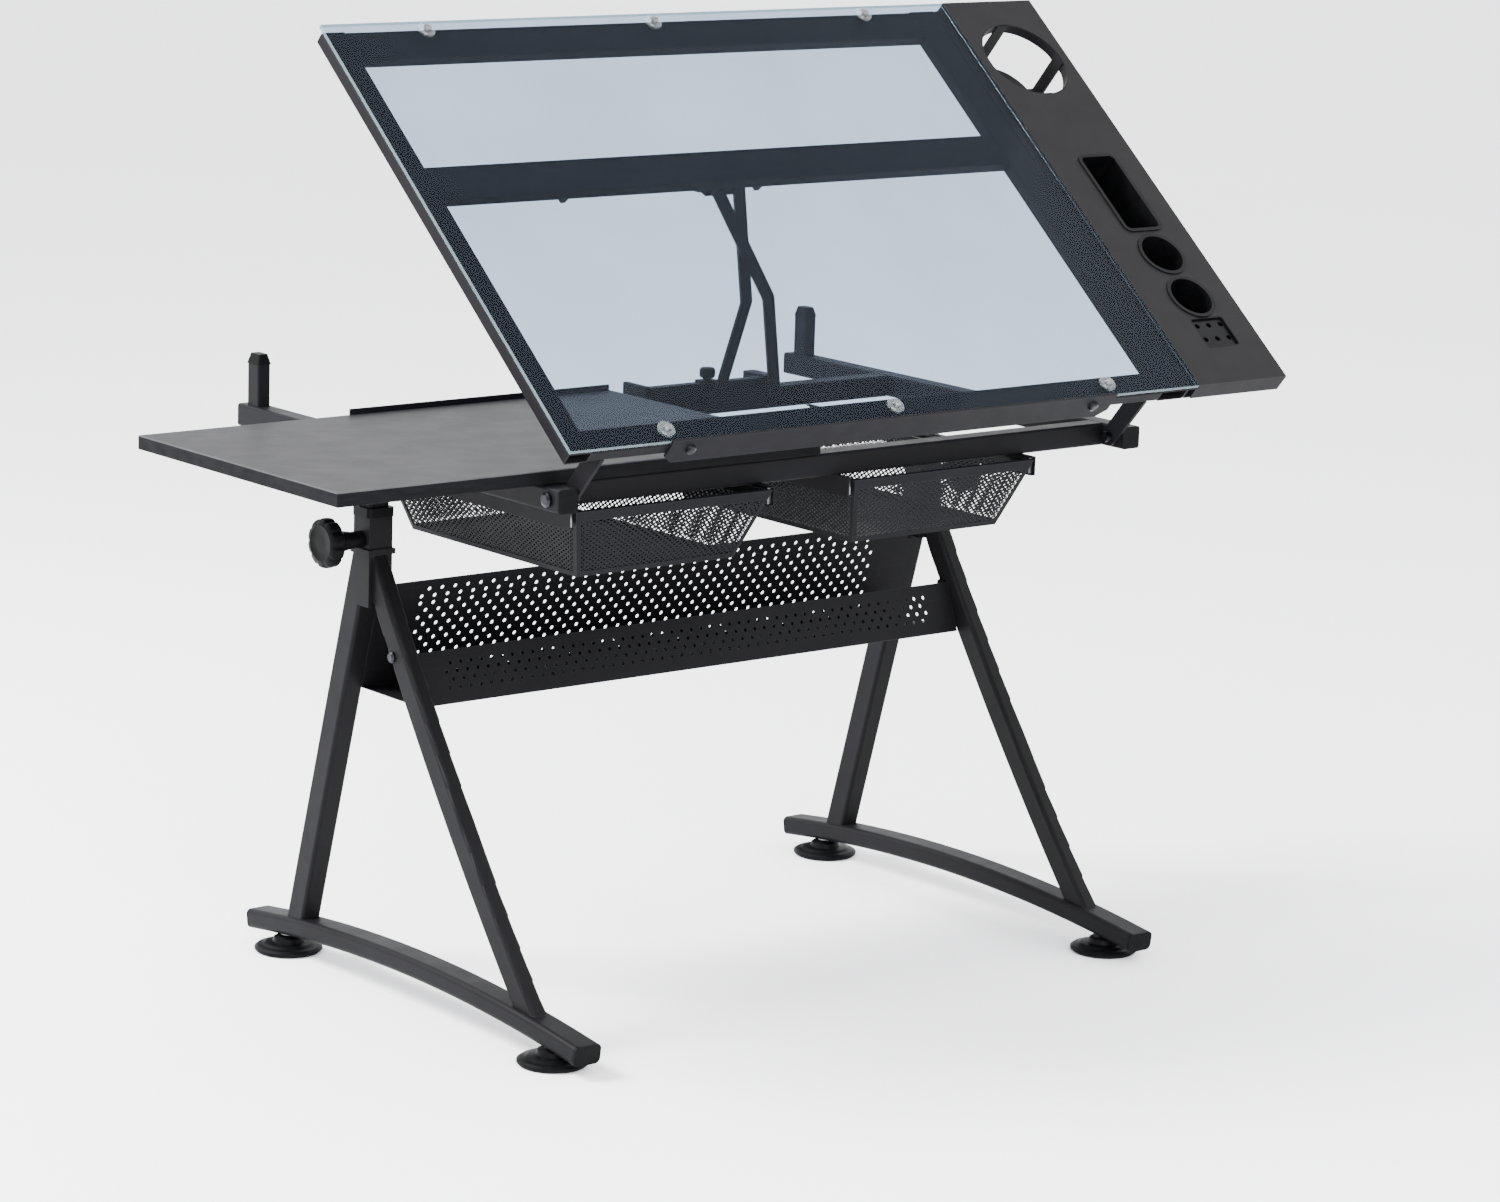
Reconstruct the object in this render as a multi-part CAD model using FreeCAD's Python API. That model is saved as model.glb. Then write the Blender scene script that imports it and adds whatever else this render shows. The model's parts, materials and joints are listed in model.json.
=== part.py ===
"""Drafting table: two A-frames, a height-adjustable top frame, a tilting glass top, a side board,
a tool tray and two mesh drawers. Millimetres, +Z up, -Y towards the person who sits at it.

Everything is laid out about the point on the floor midway between the four levelling feet, and
the whole table is moved at the end so that the origin is under the middle of its bounding box.
"""
import FreeCAD, Part
import math
import os

V = FreeCAD.Vector
SIDES = (("left", -1), ("right", 1))

# ---- driving dimensions ----
ORIGIN_X = -34.5            # middle of the finished table, from the feet's middle
ORIGIN_Y = 16.75

FRAME_X = 390.0             # centre plane of each A-frame, post and side rail
FOOT_Y = 250.0              # levelling feet, front and rear of the middle
BAR_W = 34.0                # foot bar section
BAR_H = 22.0
BAR_CORNER = 6.0
BAR_MID_Z = 46.0            # centre of the foot bar at the middle of its arch
BAR_RADIUS = 2250.0
BAR_HALF = 306.0            # half length of the steel bar, without its plugs
PLUG = 4.0
WALL = 2.0                  # wall of every steel tube

FOOT_R = 38.0
INSERT_R = 9.0
STEM_R = 5.0
STEM_TOP = 37.0
RUNNING = 0.05              # clearance of each sliding or turning fit, on the radius

LEG_W = 25.0                # rear leg
LEG_D = 30.0
LEG_TOP_Y = 101.5           # rear leg centreline at z = LEG_TOP_Z
LEG_TOP_Z = 478.0
LEG_LEAN = 0.276
FRONT_LEG_W = 20.0
FRONT_LEG_D = 28.0
FRONT_LEG_ARC = ((93.0, 478.0), (-49.3, 258.2), (-217.5, 36.0))

POST = 25.0                 # inner post and every rail of the top frame
POST_Y = 94.5
SLEEVE = 30.0
SLEEVE_Z = (425.0, 523.0)
FLANGE_Z = (482.0, 488.0)
COLLAR_TOP = 533.0
POST_Z = (430.0, 583.0)
KNOB_Z = 498.0
KNOB_R = 27.0
SCREW_R = 4.0

RAIL_Z = 583.0              # underside of the rails
RAIL_TOP = RAIL_Z + POST
RAIL_Y = (-252.0, 342.0)
FRONT_RAIL_Y = -221.0       # front face of the front cross rail
REAR_RAIL_Y = 150.0         # front face of the rear cross rail
REST_Y = 322.0
REST_CAP_Z = 655.0
REST_TOP = 666.2            # rest posts, just under the flat glass frame

BOARD_X = (-650.0, -34.0)
BOARD_Y = (-224.0, 150.0)
BOARD_T = 15.0

HINGE_Y = -236.0            # tilt hinge axis, along X
HINGE_Z = 595.5
HINGE_B = 11.9              # the same axis in the top's own frame, see tilted()
HINGE_N = -91.0
TILT_REST = 40.0            # slope of the glass as drawn
LUG_GAP = 0.3
LUG_T = 4.0

GLASS_X = (-425.0, 445.0)
GLASS_B = 600.0
GLASS_T = 5.0
FRAME_T = 15.0              # depth of the tubes under the glass
FRAME_X0 = -425.0
FRAME_X1 = 431.0
CLIP_X = (-297.0, 9.0, 314.0)
CLIP_B = (15.0, 585.0)
LEDGE_X = (-297.0, 317.0)
LEDGE_BOLT_N = -12.5

TRAY_X = (445.0, 581.0)
TRAY_RIM = 22.0
SHEET = 1.5
CUP_AT = (513.0, 505.0)
CUP_R = 59.0
PEN_X = (492.0, 545.0)
PEN_B = (232.0, 347.0)
POT_X = 519.0
POT_B = (127.0, 193.0)
POT_R = 28.0
PAD_X = (493.0, 547.0)
PAD_B = (50.0, 97.0)

DRAWERS = (("left", -243.0), ("right", 127.0))
DRAWER_TOP_W = 256.0
DRAWER_FLOOR_W = 205.0
DRAWER_Z = (506.0, 580.0)
DRAWER_TOP_Y = (-243.0, 105.0)
DRAWER_FLOOR_Y = (-212.0, 83.0)
CHANNEL_Z = (562.0, 583.0)
CHANNEL_Y = (-240.0, 152.0)
CHANNEL_D = 6.2

SHELF_FLOOR_Z = 325.0
SHELF_FRONT = ((33.0, 380.0), (12.0, 325.0))
SHELF_BACK_TOP = 444.0
SHELF_BOLT = (39.8, 378.0)

SPRING_Y = -181.0
SPRING_Z = 600.0
SPRING_X = (-46.0, 93.0)
SPRING_HOOKS = (-64.0, 136.0)

ROD_B = 385.0               # upper rod of the lift, in the top's own frame
ROD_N = -45.0
GUIDE_Y = 137.0             # lower guide bar of the lift
GUIDE_Z = 618.0
GUIDE_X = (0.0, 190.0)
GUIDE = 12.0
SLIDER_X = (84.0, 106.0)
LIFT_UPPER_X = (26.0, -6.0)     # upper pins of the two arms
LIFT_LOWER_X = (99.0, 178.0)    # where their lower ends stand at rest
ARM_LAYER = (18.0, 22.5)        # each arm's distance in front of the rod's plane
SPACER_END = 13.5               # how near the arms' lower spacers come to that plane
ARM_W = 14.0
ARM_T = 4.0
ARM_BOW = (26.0, 24.0)          # how far each arm bows to the right


# ---- basic solids ----
def box(x, y, z):
    return Part.makeBox(x[1] - x[0], y[1] - y[0], z[1] - z[0], V(x[0], y[0], z[0]))


def rod(start, end, radius):
    """Round bar from one point to another."""
    run = V(*end) - V(*start)
    return Part.makeCylinder(radius, run.Length, V(*start), run)


def fused(shapes):
    whole = shapes[0]
    for shape in shapes[1:]:
        whole = whole.fuse(shape)
    return whole.removeSplitter()


def cut(shape, tools):
    for tool in tools:
        shape = shape.cut(tool)
    return shape


def rounded_face(width, depth, corner):
    """Rounded rectangle in the XY plane, centred on the origin."""
    w = width / 2
    d = depth / 2
    outline = [V(-w, -d, 0), V(w, -d, 0), V(w, d, 0), V(-w, d, 0), V(-w, -d, 0)]
    plate = Part.Face(Part.makePolygon(outline)).extrude(V(0, 0, 1))
    upright = [e for e in plate.Edges if abs(e.tangentAt(e.FirstParameter).z) > 0.9]
    plate = plate.makeFillet(corner, upright)
    return [f for f in plate.Faces if f.CenterOfMass.z < 0.01][0]


def tube(face_size, corner, start, end, wall=WALL):
    """Rectangular tube from start to end; its width lies along X, or along Y when it runs along X."""
    start = V(*start)
    run = V(*end) - start
    along = V(run)
    along.normalize()
    across = V(0, 1, 0) if abs(along.x) > 0.9 else V(1, 0, 0)
    turn = FreeCAD.Rotation(across, V(), along, "ZXY")
    outer = rounded_face(face_size[0], face_size[1], corner).extrude(V(0, 0, run.Length))
    solid = outer
    if wall:
        inner = rounded_face(face_size[0] - 2 * wall, face_size[1] - 2 * wall, max(corner - wall, 0.5))
        solid = outer.cut(inner.extrude(V(0, 0, run.Length)))
    solid.Placement = FreeCAD.Placement(start, turn)
    return solid


def arched_bar(x, centre, radius, angles, size, corner, wall=0.0):
    """Bar or tube of width size[0] along X, bent about an axis along X; angles run from +Y to +Z."""
    def swept(width, depth, round_off):
        face = rounded_face(width, depth, round_off)
        face.translate(V(x, radius, 0))
        face.rotate(V(), V(1, 0, 0), angles[0])
        return face.revolve(V(), V(1, 0, 0), angles[1] - angles[0])

    solid = swept(size[0], size[1], corner)
    if wall:
        solid = solid.cut(swept(size[0] - 2 * wall, size[1] - 2 * wall, corner - wall))
    solid.translate(V(0, centre[0], centre[1]))
    return solid


def plate_x(x, outline):
    """Flat plate between two x planes, from an outline of (y, z) points."""
    points = [V(x[0], y, z) for y, z in outline]
    return Part.Face(Part.makePolygon(points + points[:1])).extrude(V(x[1] - x[0], 0, 0))


def turned(profile, origin, axis):
    """Solid of revolution: profile is (distance along the axis, radius) from end to end."""
    points = [V(0, 0, profile[0][0])] + [V(r, 0, h) for h, r in profile] + [V(0, 0, profile[-1][0])]
    solid = Part.Face(Part.makePolygon(points + points[:1])).revolve(V(), V(0, 0, 1), 360)
    solid.Placement = FreeCAD.Placement(V(*origin), FreeCAD.Rotation(V(0, 0, 1), V(*axis)))
    return solid


# ---- foot bars, feet and legs ----
def foot_bar_angles():
    swing = math.degrees(math.asin(BAR_HALF / BAR_RADIUS))
    return (90 - swing, 90 + swing)


def foot_bar_envelope(x, wall=0.0):
    centre = (0.0, BAR_MID_Z - BAR_RADIUS)
    return arched_bar(x, centre, BAR_RADIUS, foot_bar_angles(), (BAR_W, BAR_H), BAR_CORNER, wall)


def foot_bar(x):
    """Hollow bar with a hole in its underside for each threaded insert."""
    holes = [Part.makeCylinder(INSERT_R, BAR_H / 2, V(x, y, 14)) for y in (-FOOT_Y, FOOT_Y)]
    return cut(foot_bar_envelope(x, WALL), holes)


def foot_bar_plugs(x):
    """A rounded cap on each end of the bar, with a spigot inside it."""
    centre = (0.0, BAR_MID_Z - BAR_RADIUS)
    inner = BAR_W - 2 * WALL, BAR_H - 2 * WALL
    low, high = foot_bar_angles()
    cap = math.degrees(PLUG / BAR_RADIUS)
    spigot = 3 * cap
    plugs = []
    for end, away in ((low, -1), (high, 1)):
        outside = sorted((end, end + away * cap))
        inside = sorted((end, end - away * spigot))
        head = arched_bar(x, centre, BAR_RADIUS, outside, (BAR_W, BAR_H), BAR_CORNER)
        tail = arched_bar(x, centre, BAR_RADIUS, inside, inner, BAR_CORNER - WALL)
        plugs.append(fused([head, tail]))
    return plugs


def foot_positions():
    return [(side * FRAME_X, y) for _, side in SIDES for y in (-FOOT_Y, FOOT_Y)]


def foot_insert(x, y):
    """Threaded bush set into the underside of the bar."""
    bush = Part.makeCylinder(INSERT_R, 17.5, V(x, y, 19.0))
    return bush.cut(Part.makeCylinder(STEM_R + RUNNING, 30, V(x, y, 15)))


def levelling_foot(x, y):
    hub_r = 18.0
    profile = [(0, FOOT_R - 3), (2.5, FOOT_R), (5, FOOT_R), (7, FOOT_R - 3), (8, hub_r + 12), (10, hub_r + 8),
               (11, hub_r), (16, hub_r - 1.5), (18, hub_r - 5), (18, STEM_R), (STEM_TOP, STEM_R)]
    return turned(profile, (x, y, 0), (0, 0, 1))


def rear_leg_y(z):
    return LEG_TOP_Y + LEG_LEAN * (LEG_TOP_Z - z)


def rear_leg_blank(x, wall):
    """The leg before its ends are cut, long enough for both."""
    low, high = -20.0, 520.0
    return tube((LEG_W, LEG_D), 4.0, (x, rear_leg_y(low), low), (x, rear_leg_y(high), high), wall)


def sleeve_envelope(x):
    body = box((x - SLEEVE / 2, x + SLEEVE / 2), (POST_Y - SLEEVE / 2, POST_Y + SLEEVE / 2), SLEEVE_Z)
    rim = SLEEVE / 2 + 2.5
    flange = box((x - rim, x + rim), (POST_Y - rim, POST_Y + rim), FLANGE_Z)
    return body.fuse(flange)


def rear_leg(x):
    keep = box((x - 50, x + 50), (0, 400), (30, 482))
    return cut(rear_leg_blank(x, WALL).common(keep), [foot_bar_envelope(x), sleeve_envelope(x)])


def front_leg(x, side):
    top, middle, foot = [V(0, y, z) for y, z in FRONT_LEG_ARC]
    curve = Part.Arc(top, middle, foot).toShape().Curve
    centre = (curve.Center.y, curve.Center.z)
    angle_top = math.degrees(math.atan2(top.z - centre[1], top.y - centre[0]))
    angle_foot = math.degrees(math.atan2(foot.z - centre[1], foot.y - centre[0]))
    angles = sorted((angle_top, angle_foot))
    leg = arched_bar(x, centre, curve.Radius, angles, (FRONT_LEG_W, FRONT_LEG_D), 4.0, WALL)
    leg = cut(leg, [foot_bar_envelope(x), rear_leg_blank(x, 0), sleeve_envelope(x), shelf_bolt(x, side)])
    return max(leg.Solids, key=lambda solid: solid.Volume)


# ---- sleeves, collars and height knobs ----
def post_hole(x, z):
    half = POST / 2 + RUNNING
    return box((x - half, x + half), (POST_Y - half, POST_Y + half), z)


def post_sleeve(x, side):
    outer = side * (FRAME_X + SLEEVE / 2)
    boss = rod((outer - side * 0.5, POST_Y, KNOB_Z), (outer + side * 6, POST_Y, KNOB_Z), 9.0)
    sleeve = sleeve_envelope(x).fuse(boss).cut(post_hole(x, (SLEEVE_Z[0] - 1, SLEEVE_Z[1] + 1)))
    hole = rod((x, POST_Y, KNOB_Z), (outer + side * 10, POST_Y, KNOB_Z), SCREW_R + RUNNING)
    return sleeve.cut(hole)


def sleeve_collar(x):
    ring = tube((34, 34), 5.0, (x, POST_Y, SLEEVE_Z[1]), (x, POST_Y, COLLAR_TOP), 0)
    return ring.cut(post_hole(x, (SLEEVE_Z[1] - 1, COLLAR_TOP + 1)))


def height_knob(side):
    """Clamp knob with a flared neck and a mushroom head; its screw stops short of the post."""
    start = FRAME_X + 12.9
    neck = 411.5 - start
    profile = [(0, SCREW_R), (neck, SCREW_R), (neck, 8), (neck + 18, 9), (neck + 27, 13), (neck + 30.5, 20),
               (neck + 31.5, KNOB_R - 2), (neck + 34, KNOB_R), (neck + 41, KNOB_R), (neck + 45, KNOB_R - 4),
               (neck + 46.5, KNOB_R - 10)]
    return turned(profile, (side * start, POST_Y, KNOB_Z), (side, 0, 0))


# ---- shelf trough between the legs ----
def rear_leg_front_y(z):
    return rear_leg_y(z) - LEG_D / 2 * math.sqrt(1 + LEG_LEAN ** 2)


def shelf_path():
    floor_rear = (rear_leg_front_y(SHELF_FLOOR_Z), SHELF_FLOOR_Z)
    top_rear = (rear_leg_front_y(SHELF_BACK_TOP), SHELF_BACK_TOP)
    return [SHELF_FRONT[0], SHELF_FRONT[1], floor_rear, top_rear]


def offset_path(path, distance):
    """Same open path moved sideways to its left, with mitred corners."""
    normals = []
    for (y0, z0), (y1, z1) in zip(path, path[1:]):
        length = math.hypot(y1 - y0, z1 - z0)
        normals.append((-(z1 - z0) / length, (y1 - y0) / length))
    moved = []
    for index, (y, z) in enumerate(path):
        before = normals[max(index - 1, 0)]
        after = normals[min(index, len(normals) - 1)]
        mitre = 1 + before[0] * after[0] + before[1] * after[1]
        reach = distance / mitre
        moved.append((y + reach * (before[0] + after[0]), z + reach * (before[1] + after[1])))
    return moved


def shelf_trough():
    reach = FRAME_X - FRONT_LEG_W / 2
    clear = FRAME_X - SLEEVE / 2 - 1
    path = shelf_path()
    sheet = plate_x((-reach, reach), path + offset_path(path, SHEET)[::-1])
    for side in (-1, 1):
        beside_sleeve = sorted((side * clear, side * (reach + 1)))
        sheet = sheet.cut(box(beside_sleeve, (0, 200), (SLEEVE_Z[0] - 4, 500)))
        ear_x = sorted((side * (reach - SHEET), side * reach))
        ear = plate_x(ear_x, [(20, 346), (33, 380), (34, 394), (50, 394), (50, 346)])
        sheet = sheet.fuse(ear)
        sheet = sheet.cut(rod((side * 360, SHELF_BOLT[0], SHELF_BOLT[1]), (side * 420, *SHELF_BOLT), 3.0))
    return sheet.removeSplitter()


def shelf_bolt(x, side):
    """Bolt through the front leg and the trough's ear: nut inside, round head outside."""
    nut = 4.0
    grip = nut + FRONT_LEG_W + SHEET
    profile = [(0, 5), (nut, 5), (nut, 3), (grip, 3), (grip, 6), (grip + 2, 6), (grip + 4, 4)]
    nut_x = FRAME_X - FRONT_LEG_W / 2 - SHEET - nut
    return turned(profile, (side * nut_x, *SHELF_BOLT), (side, 0, 0))


# ---- top frame ----
def inner_post(x):
    return tube((POST, POST), 3.0, (x, POST_Y, POST_Z[0]), (x, POST_Y, POST_Z[1]))


def hinge_bolt(side):
    """Bolt along the tilt axis: head outside the side rail, nut inside the lug."""
    inner = FRAME_X - POST / 2
    profile = [(0, 6), (6, 6), (6, SCREW_R), (inner + POST - 366, SCREW_R), (inner + POST - 366, 8),
               (inner + POST - 363, 8), (inner + POST - 361.5, 5)]
    return turned(profile, (side * 366, HINGE_Y, HINGE_Z), (side, 0, 0))


def rest_post(x):
    return tube((16, 22), 2.0, (x, REST_Y, RAIL_TOP), (x, REST_Y, REST_CAP_Z))


def side_rail(x, side):
    """Rail with the hinge bolt's hole at its front end and the rest post welded on at its rear."""
    rail = tube((POST, POST), 3.0, (x, RAIL_Y[0], RAIL_Z + POST / 2), (x, RAIL_Y[1], RAIL_Z + POST / 2))
    rail = rail.cut(rod((side * 300, HINGE_Y, HINGE_Z), (side * 430, HINGE_Y, HINGE_Z), SCREW_R))
    return rail.fuse(rest_post(x))


def rail_end_cap(x, y, away):
    cap = tube((POST, POST), 3.0, (x, y, RAIL_Z + POST / 2), (x, y + away * 3, RAIL_Z + POST / 2), 0)
    inner = POST - 2 * WALL
    spigot = tube((inner, inner), 1.0, (x, y, RAIL_Z + POST / 2), (x, y - away * 8, RAIL_Z + POST / 2), 0)
    return fused([cap, spigot])


def cross_rail(front_y):
    """Square tube between the side rails."""
    reach = FRAME_X - POST / 2
    middle = (front_y + POST / 2, RAIL_Z + POST / 2)
    return tube((POST, POST), 3.0, (-reach, *middle), (reach, *middle))


def rest_cap(x):
    """Tapered plastic cap that the flat top comes down on."""
    lower = rounded_face(18, 24, 2.5)
    lower.translate(V(x, REST_Y, REST_CAP_Z))
    upper = rounded_face(12, 18, 2.5)
    upper.translate(V(x, REST_Y, REST_TOP))
    return Part.makeLoft([lower.OuterWire, upper.OuterWire], True, True)


def side_board():
    board = box(BOARD_X, BOARD_Y, (RAIL_TOP, RAIL_TOP + BOARD_T))
    return board.makeChamfer(1.2, [e for e in board.Edges if e.BoundBox.ZLength < 0.1])


def board_stop():
    """Steel angle on the rear cross rail; it stands up behind the board's rear edge."""
    x = (BOARD_X[0] + 266, BOARD_X[1] - 1)
    upright = box(x, (BOARD_Y[1], BOARD_Y[1] + 2), (RAIL_TOP, RAIL_TOP + BOARD_T + 6))
    return upright.fuse(box(x, (BOARD_Y[1], BOARD_Y[1] + 16), (RAIL_TOP, RAIL_TOP + 2))).removeSplitter()


# ---- drawers and their channels ----
def drawer_channel(x, side):
    """C-section that opens towards the drawer; x is its closed face."""
    outer = box(sorted((x, x - side * CHANNEL_D)), CHANNEL_Y, CHANNEL_Z)
    inner_x = sorted((x - side * 1.2, x - side * (CHANNEL_D + 1)))
    inner = box(inner_x, (CHANNEL_Y[0] - 1, CHANNEL_Y[1] + 1), (CHANNEL_Z[0] + 1.2, CHANNEL_Z[1] - 1.2))
    return outer.cut(inner)


def channel_face(centre, side):
    return centre + side * (DRAWER_TOP_W / 2 + CHANNEL_D)


def drawer_channels():
    return [drawer_channel(channel_face(centre, side), side) for _, centre in DRAWERS for side in (-1, 1)]


def rectangle_wire(x, y, z):
    corners = [V(x[0], y[0], z), V(x[1], y[0], z), V(x[1], y[1], z), V(x[0], y[1], z), V(x[0], y[0], z)]
    return Part.makePolygon(corners)


def basket_block(centre, inset, floor_z):
    """Tapered block of the basket's outside, shrunk by inset on every side."""
    rise = (DRAWER_Z[1] - floor_z) / (DRAWER_Z[1] - DRAWER_Z[0])

    def ring(width, y, z):
        half = width / 2 - inset
        return rectangle_wire((centre - half, centre + half), (y[0] + inset, y[1] - inset), z)

    floor_w = DRAWER_TOP_W + (DRAWER_FLOOR_W - DRAWER_TOP_W) * rise
    floor_y = [t + (f - t) * rise for t, f in zip(DRAWER_TOP_Y, DRAWER_FLOOR_Y)]
    return Part.makeLoft([ring(floor_w, floor_y, floor_z), ring(DRAWER_TOP_W, DRAWER_TOP_Y, DRAWER_Z[1])],
                         True, True)


def drawer_basket(centre):
    wall = 1.6
    basket = basket_block(centre, 0, DRAWER_Z[0]).cut(basket_block(centre, wall, DRAWER_Z[0] + wall))
    half = DRAWER_TOP_W / 2
    rim_z = (DRAWER_Z[1] - 4, DRAWER_Z[1])
    rim = box((centre - half, centre + half), DRAWER_TOP_Y, rim_z)
    hole = box((centre - half + 5, centre + half - 5), (DRAWER_TOP_Y[0] + 5, DRAWER_TOP_Y[1] - 5), rim_z)
    return basket.fuse(rim.cut(hole)).removeSplitter()


def drawer_slides(centre):
    """The bars on the basket's rim that run inside the channels."""
    gap = 0.4
    bars = []
    for side in (-1, 1):
        x = sorted((centre + side * DRAWER_TOP_W / 2, channel_face(centre, side) - side * (1.2 + gap)))
        z = (CHANNEL_Z[0] + 1.2 + gap, CHANNEL_Z[1] - 1.2 - gap)
        bars.append(box(x, (CHANNEL_Y[0] + 4, DRAWER_TOP_Y[1] - 2), z))
    return bars


# ---- tension spring behind the front cross rail ----
def spring_tabs():
    tabs = []
    for x in SPRING_HOOKS:
        plate = box((x - 1.5, x + 1.5), (FRONT_RAIL_Y + POST, SPRING_Y + 6), (SPRING_Z - 8, SPRING_Z + 6))
        tabs.append(plate.cut(rod((x - 5, SPRING_Y, SPRING_Z), (x + 5, SPRING_Y, SPRING_Z), 1.5)))
    return tabs


def tension_spring():
    """The coils as one tube, with a straight wire through each end tab."""
    coils = rod((SPRING_X[0], SPRING_Y, SPRING_Z), (SPRING_X[1], SPRING_Y, SPRING_Z), 6.5)
    wire = rod((SPRING_HOOKS[0] - 5, SPRING_Y, SPRING_Z), (SPRING_HOOKS[1] + 5, SPRING_Y, SPRING_Z), 1.5)
    return coils.fuse(wire).removeSplitter()


# ---- tilting top: shapes are drawn with y up the slope from the glass's lower edge, z off its face ----
def tilted(shape):
    turn = FreeCAD.Rotation(V(1, 0, 0), TILT_REST)
    shift = V(0, HINGE_Y, HINGE_Z) - turn.multVec(V(0, HINGE_B, HINGE_N))
    moved = shape.copy()
    moved.Placement = FreeCAD.Placement(shift, turn).multiply(moved.Placement)
    return moved


def glass_panel():
    panel = box(GLASS_X, (0, GLASS_B), (-GLASS_T, 0))
    corners = [e for e in panel.Edges if e.BoundBox.ZLength > GLASS_T - 0.1]
    panel = panel.makeFillet(8.0, corners)
    return cut(panel, [rod((x, b, -10), (x, b, 5), 3.0) for x in CLIP_X for b in CLIP_B])


def frame_bar(x, b, length_along_x):
    """Rectangular tube under the glass, drawn from its outer faces."""
    middle_n = -GLASS_T - FRAME_T / 2
    if length_along_x:
        b_mid = sum(b) / 2
        bar = tube((b[1] - b[0], FRAME_T), 2.5, (x[0], b_mid, middle_n), (x[1], b_mid, middle_n), 1.5)
    else:
        x_mid = sum(x) / 2
        bar = tube((x[1] - x[0], FRAME_T), 2.5, (x_mid, b[0], middle_n), (x_mid, b[1], middle_n), 1.5)
    screws = [rod((cx, cb, -14), (cx, cb, 5), 2.5) for cx in CLIP_X for cb in CLIP_B]
    return cut(bar, screws)


def glass_clips():
    """Clear washers that hold the glass down."""
    clips = []
    for x in CLIP_X:
        for b in CLIP_B:
            disc = turned([(0, 10), (2.5, 10), (4, 8.5)], (x, b, 0), (0, 0, 1))
            clips.append(disc.cut(rod((x, b, -1), (x, b, 6), 2.5)))
    return clips


def clip_screws():
    return [turned([(-13, 2.5), (4, 2.5), (4, 5), (6, 4.5), (7, 3)], (x, b, 0), (0, 0, 1))
            for x in CLIP_X for b in CLIP_B]


def stop_ledge():
    """Lip across the lower edge of the glass; its lower corners are slanted."""
    left, right = LEDGE_X
    outline = [(left, 2), (right, 2), (right, -22), (right - 12, -32), (left + 12, -32), (left, -22)]
    points = [V(x, -3, n) for x, n in outline]
    ledge = Part.Face(Part.makePolygon(points + points[:1])).extrude(V(0, 3, 0))
    return cut(ledge, [rod((x, -5, LEDGE_BOLT_N), (x, 3, LEDGE_BOLT_N), 3.0) for x in ledge_bolt_x()])


def ledge_bolt_x():
    return [LEDGE_X[0] + 28, LEDGE_X[1] - 28]


def ledge_bolts():
    return [turned([(0, 6), (3, 5.5), (4, 3.5)], (x, -3, LEDGE_BOLT_N), (0, -1, 0)).fuse(
        rod((x, -3, LEDGE_BOLT_N), (x, 0, LEDGE_BOLT_N), 3.0)) for x in ledge_bolt_x()]


def hinge_lug(side):
    """Plate under the lower tube that hangs on the hinge bolt."""
    outer = FRAME_X - POST / 2 - LUG_GAP
    radius = 10.5
    x = sorted((side * (outer - LUG_T), side * outer))
    under = -GLASS_T - FRAME_T
    plate = plate_x(x, [(0, under), (30, under), (HINGE_B + radius, -45), (HINGE_B + radius, HINGE_N),
                        (HINGE_B - radius, HINGE_N)])
    eye = rod((x[0], HINGE_B, HINGE_N), (x[1], HINGE_B, HINGE_N), radius)
    bore = rod((x[0] - 1, HINGE_B, HINGE_N), (x[1] + 1, HINGE_B, HINGE_N), SCREW_R + RUNNING)
    return plate.fuse(eye).removeSplitter().cut(bore)


# ---- tool tray ----
def rounded_pocket(x, b, depth, corner):
    """Upright block with rounded corners, from the tray's face down to the depth."""
    face = rounded_face(x[1] - x[0], b[1] - b[0], corner)
    face.translate(V(sum(x) / 2, sum(b) / 2, -depth))
    return face.extrude(V(0, 0, depth))


def tray_cutouts(depth):
    cup = rod((*CUP_AT, -depth), (*CUP_AT, 0), CUP_R)
    pots = [rod((POT_X, b, -depth), (POT_X, b, 0), POT_R) for b in POT_B]
    return [cup, rounded_pocket(PEN_X, PEN_B, depth, 8.0), rounded_pocket(PAD_X, PAD_B, depth, 5.0)] + pots


def tool_tray():
    """Folded sheet: a flat face with a turned-down rim all round."""
    outer = box(TRAY_X, (0, GLASS_B), (-TRAY_RIM, 0))
    inner = box((TRAY_X[0] + SHEET, TRAY_X[1] - SHEET), (SHEET, GLASS_B - SHEET), (-TRAY_RIM - 1, -SHEET))
    return cut(outer.cut(inner), tray_cutouts(TRAY_RIM))


def insert(block, hollow, flange):
    """Moulded cup: the block hangs in the tray with a flange round its mouth."""
    return block.fuse(flange).removeSplitter().cut(hollow)


def pen_insert():
    wall = 1.5
    block = rounded_pocket(PEN_X, PEN_B, 40, 8.0)
    inner_x = (PEN_X[0] + wall, PEN_X[1] - wall)
    inner_b = (PEN_B[0] + wall, PEN_B[1] - wall)
    hollow = rounded_pocket(inner_x, inner_b, 50, 6.5)
    hollow.translate(V(0, 0, 50 - 40 + wall))
    rim = rounded_pocket((PEN_X[0] - 3, PEN_X[1] + 3), (PEN_B[0] - 3, PEN_B[1] + 3), 1.5, 11.0)
    rim.translate(V(0, 0, 1.5))
    return insert(block, hollow, rim)


def pot_insert(b):
    block = rod((POT_X, b, -42), (POT_X, b, 0), POT_R)
    hollow = rod((POT_X, b, -40.5), (POT_X, b, 5), POT_R - 1.5)
    rim = rod((POT_X, b, 0), (POT_X, b, 1.5), POT_R + 3)
    return insert(block, hollow, rim)


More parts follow.
